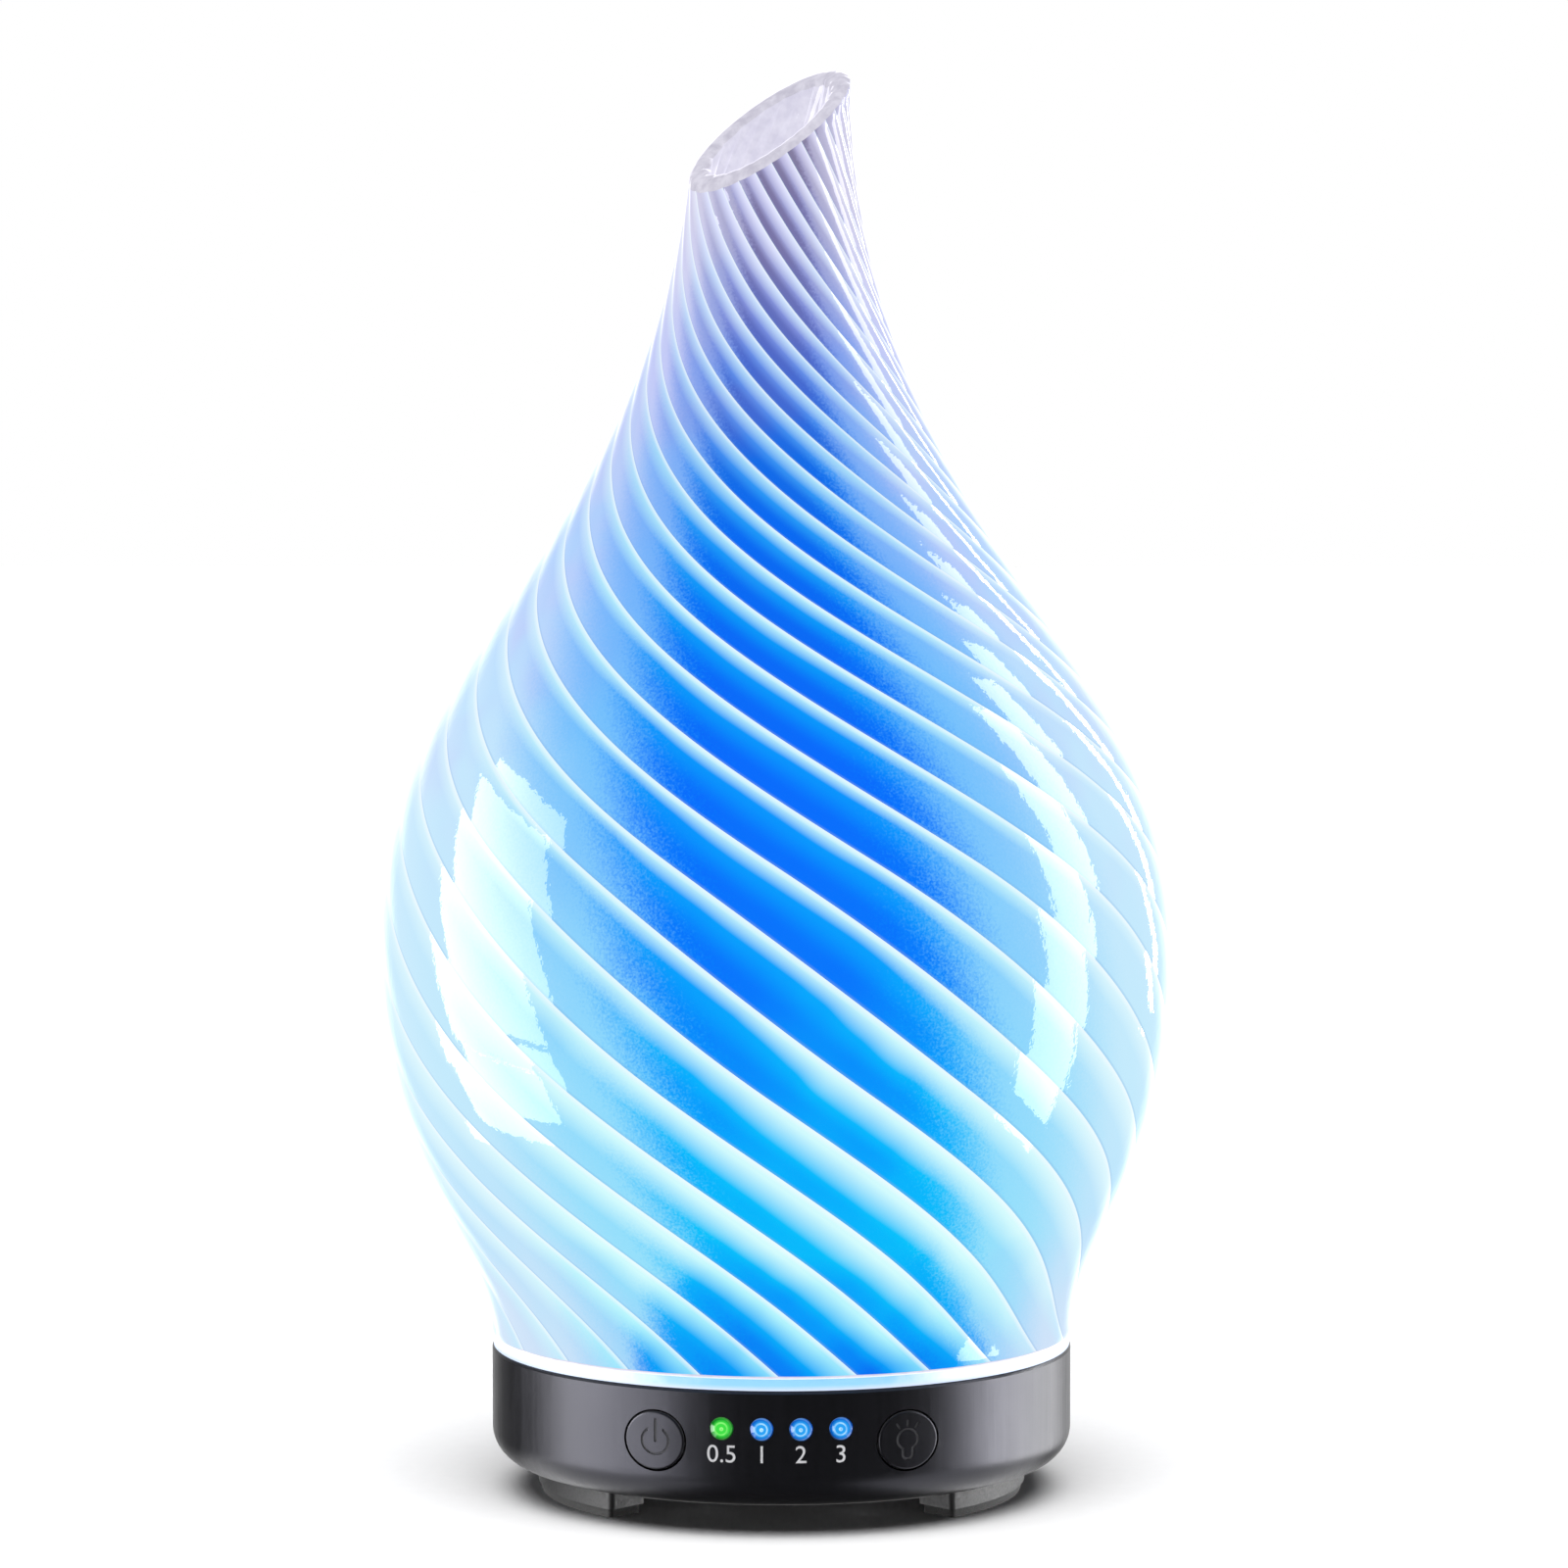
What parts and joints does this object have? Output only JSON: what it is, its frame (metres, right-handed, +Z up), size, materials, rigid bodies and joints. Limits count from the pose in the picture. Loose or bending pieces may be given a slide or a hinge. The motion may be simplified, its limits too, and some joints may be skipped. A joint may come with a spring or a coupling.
{
  "type": "essential oil diffuser",
  "caption": "Ultrasonic oil diffuser: ribbed bulb-shaped glass cover with a slanted mouth over a water tank on a low round base with push buttons and indicator lights.",
  "frame": {"origin": "on the surface it stands on, under the axis of the base", "axes": "+Z up along the glass, -Y towards the buttons, +X to the right seen from the buttons"},
  "size_m": [0.1252, 0.1252, 0.2253],
  "materials": {
    "rib_glass": "clear blown glass with spiral ribs, lit blue from below",
    "tank_plastic": "frosted translucent polypropylene, its rim lit white",
    "ring_plastic": "frosted light guide, lit bluish white",
    "cover_plastic": "satin white moulded plastic",
    "silicone": "soft translucent silicone",
    "housing_black": "satin black with fine upright brushing",
    "cover_black": "fine grained black moulding",
    "pad_rubber": "matt black rubber",
    "screw_steel": "zinc plated steel",
    "mist_ceramic": "nickel plated disc",
    "clamp_plastic": "plain white moulding",
    "board_green": "glass-fibre board with green solder mask",
    "light_white": "white LED package with a yellow window",
    "coil_copper": "enamelled copper on a ferrite core",
    "capacitor_can": "sleeved aluminium can",
    "chip_black": "black epoxy package",
    "plug_white": "natural nylon plug socket",
    "socket_black": "black moulded socket",
    "socket_nickel": "nickel plated brass pin",
    "fan_black": "glass-filled black moulding",
    "stator_copper": "wound copper on steel laminations",
    "magnet_grey": "bonded ferrite",
    "shaft_steel": "ground steel",
    "button_black": "satin black with a sunk symbol",
    "switch_black": "black switch body",
    "plunger_grey": "grey switch plunger",
    "lens_green": "clear light guide, lit green",
    "lens_blue": "clear light guide, lit blue",
    "lead_red": "red insulated lead",
    "lead_white": "white insulated lead",
    "lead_black": "black insulated lead"
  },
  "bodies": {
    "base": {"base_housing": "housing_black", "bottom_cover": "cover_black", "foot_pads": "pad_rubber", "cover_screws": "screw_steel", "water_tank": "tank_plastic", "air_duct": "tank_plastic", "tank_gasket": "silicone", "light_ring": "ring_plastic", "tank_posts": "tank_plastic", "mist_well": "tank_plastic", "fan_collar": "tank_plastic", "piezo_disc": "mist_ceramic", "transducer_seal": "silicone", "transducer_retainer": "clamp_plastic", "retainer_screws": "screw_steel", "main_board": "board_green", "board_screws": "screw_steel", "colour_lights": "light_white", "drive_coil": "coil_copper", "capacitors": "capacitor_can", "controller_chips": "chip_black", "board_plugs": "plug_white", "power_socket_shell": "socket_black", "power_socket_pin": "socket_nickel", "fan_frame": "fan_black", "fan_stator": "stator_copper", "fan_screws": "screw_steel", "control_board": "board_green", "panel_screws": "screw_steel", "indicator_lights": "light_white", "fan_lead": "lead_red", "mist_lead": "lead_white", "panel_lead": "lead_black", "power_switch_body": "switch_black", "light_switch_body": "switch_black", "half_hour_lens": "lens_green", "one_hour_lens": "lens_blue", "two_hour_lens": "lens_blue", "three_hour_lens": "lens_blue"},
    "power_button": {"power_button": "button_black", "power_switch_plunger": "plunger_grey"},
    "light_button": {"light_button": "button_black", "light_switch_plunger": "plunger_grey"},
    "fan_rotor": {"fan_rotor": "fan_black", "fan_magnet": "magnet_grey", "fan_shaft": "shaft_steel"},
    "inner_cover": {"inner_cover": "cover_plastic"},
    "glass_cover": {"glass_cover": "rib_glass"}
  },
  "joints": [
    {"name": "power_button_press", "type": "slide", "parent": "base", "child": "power_button", "axis": [0, 1, 0], "range_m": [0, 0.0005], "stiffness_N_per_m": 300, "springref_m": -0.002},
    {"name": "light_button_press", "type": "slide", "parent": "base", "child": "light_button", "axis": [0, 1, 0], "range_m": [0, 0.0005], "stiffness_N_per_m": 300, "springref_m": -0.002},
    {"name": "fan_spin", "type": "hinge", "parent": "base", "child": "fan_rotor", "pos_m": [0.017, 0, 0.0107], "axis": [0, 0, 1], "continuous": true},
    {"name": "inner_cover_lift", "type": "slide", "parent": "base", "child": "inner_cover", "axis": [0, 0, 1], "range_m": [0, 0.06]},
    {"name": "glass_cover_lift", "type": "slide", "parent": "inner_cover", "child": "glass_cover", "axis": [0, 0, 1], "range_m": [0, 0.09]}
  ]
}
